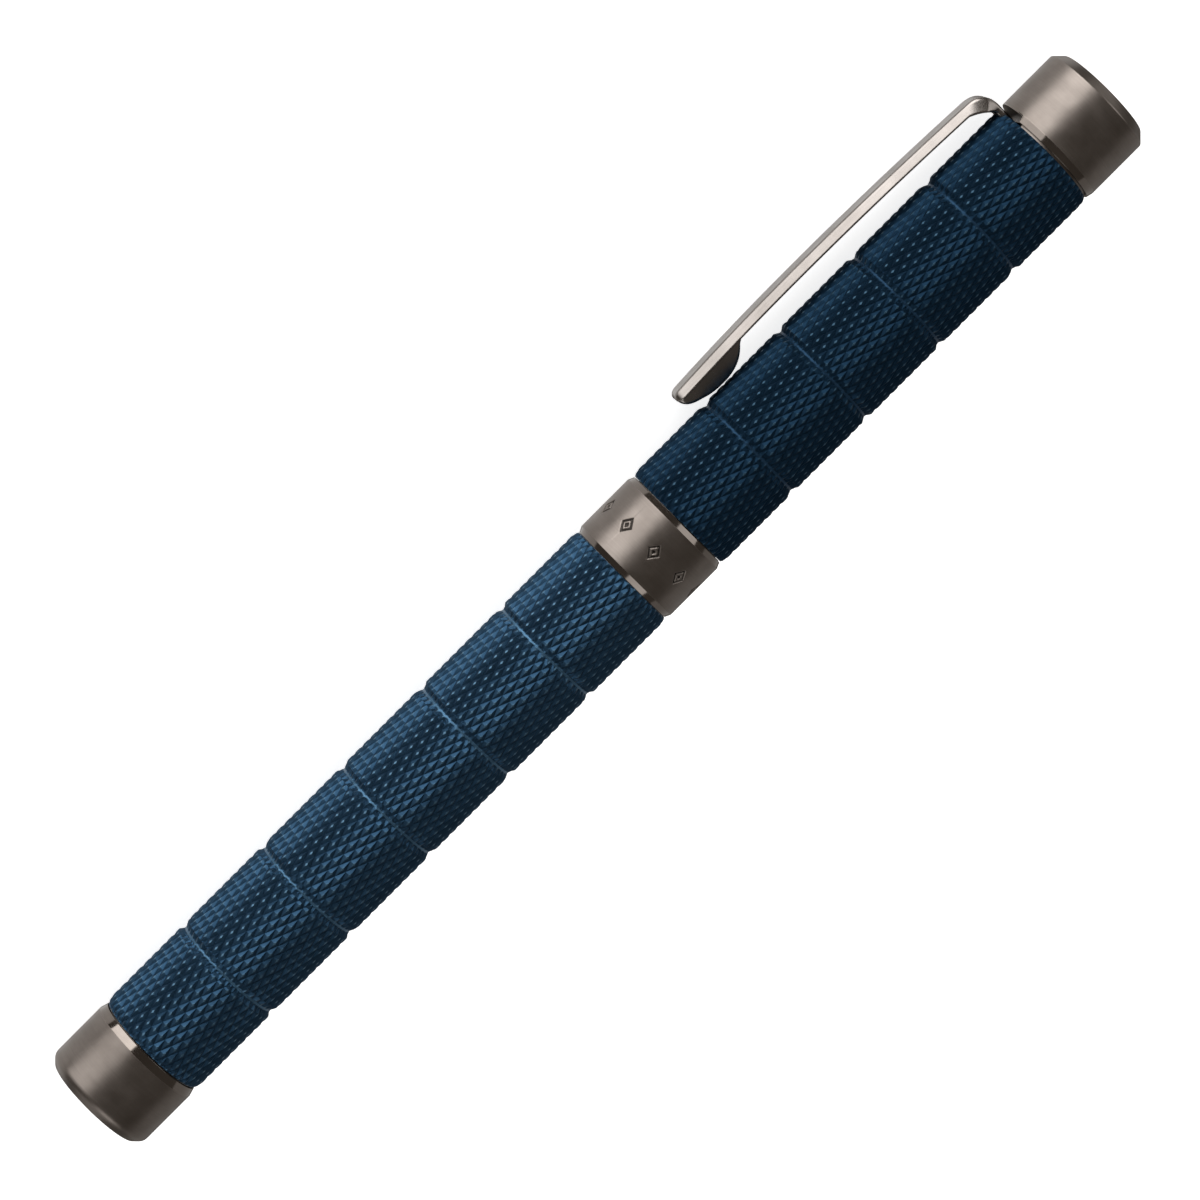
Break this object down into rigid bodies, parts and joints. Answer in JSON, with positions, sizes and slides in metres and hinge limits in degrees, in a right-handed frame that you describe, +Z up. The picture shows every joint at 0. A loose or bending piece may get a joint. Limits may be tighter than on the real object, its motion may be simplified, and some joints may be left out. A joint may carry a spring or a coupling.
{
  "type": "rollerball pen",
  "caption": "Capped rollerball pen with a knurled metal barrel and cap, a plain centre ring, chamfered ends and a slim bowed pocket clip.",
  "frame": {"origin": "middle of the pen's box, on the table: the pen lies on its body and on the outer edge of its clip", "axes": "+X along the pen from the tail to the crown of the cap, +Y to the side the clip points to, +Z up"},
  "size_m": [0.14, 0.0152, 0.0124],
  "materials": {
    "gunmetal": "satin, brushed round the axis",
    "blue_metal": "anodised, diamond knurled",
    "clip_steel": "satin, brushed along its length",
    "bright_steel": "fine turned",
    "refill_steel": "drawn tube, satin",
    "brass": "turned",
    "black_plastic": "moulded, slightly glossy",
    "rubber": "matte",
    "ink_fibre": "bonded fibre soaked with ink",
    "carbide": "polished"
  },
  "bodies": {
    "barrel": {"tail_cap": "gunmetal", "tail_fitting": "brass", "refill_spring": "bright_steel", "barrel_tube": "blue_metal", "thread_bush": "brass"},
    "refill": {"refill_end_plug": "black_plastic", "refill_tube": "refill_steel", "ink_reservoir": "ink_fibre", "ink_wick": "ink_fibre", "refill_feed": "black_plastic", "refill_tip": "refill_steel"},
    "ball": {"writing_ball": "carbide"},
    "section": {"section_coupling": "brass", "section_seal": "rubber", "section_trim_ring": "bright_steel", "section_grip": "gunmetal", "section_nose": "bright_steel"},
    "snap_ring": {"cap_snap_ring": "black_plastic"},
    "cap": {"cap_ring": "gunmetal", "cap_tube": "blue_metal", "inner_cap": "black_plastic", "tip_seal": "rubber", "cap_top_fitting": "brass", "clip_ring": "bright_steel", "lock_washer": "bright_steel", "clip_screw": "bright_steel", "crown": "gunmetal"},
    "clip": {"clip": "clip_steel"}
  },
  "joints": [
    {"name": "section_travel", "type": "slide", "parent": "barrel", "child": "refill", "axis": [1, 0, 0], "range_m": [0, 0.006], "deforming": ["refill_spring"]},
    {"name": "section_unscrew", "type": "hinge", "parent": "refill", "child": "section", "pos_m": [0.004, -0.00142, 0.0062], "axis": [1, 0, 0], "range_deg": [0, 2161]},
    {"name": "cap_turn", "type": "hinge", "parent": "section", "child": "snap_ring", "pos_m": [0.01125, -0.00142, 0.0062], "axis": [1, 0, 0], "continuous": true},
    {"name": "cap_pull_off", "type": "slide", "parent": "snap_ring", "child": "cap", "axis": [1, 0, 0], "range_m": [0, 0.06]},
    {"name": "clip_flex", "type": "hinge", "parent": "cap", "child": "clip", "pos_m": [0.0614, 0.00363, 0.00316], "axis": [0, -0.5155, -0.8569], "range_deg": [0, 4], "stiffness_Nm_per_rad": 2, "springref_deg": -1.15},
    {"name": "ball_roll", "type": "hinge", "parent": "refill", "child": "ball", "pos_m": [0.0537, -0.00142, 0.0062], "axis": [0, 1, 0], "continuous": true}
  ],
  "couplings": [
    {"joint": "section_unscrew", "follows": "section_travel", "rad_per_m": 6283.2}
  ]
}
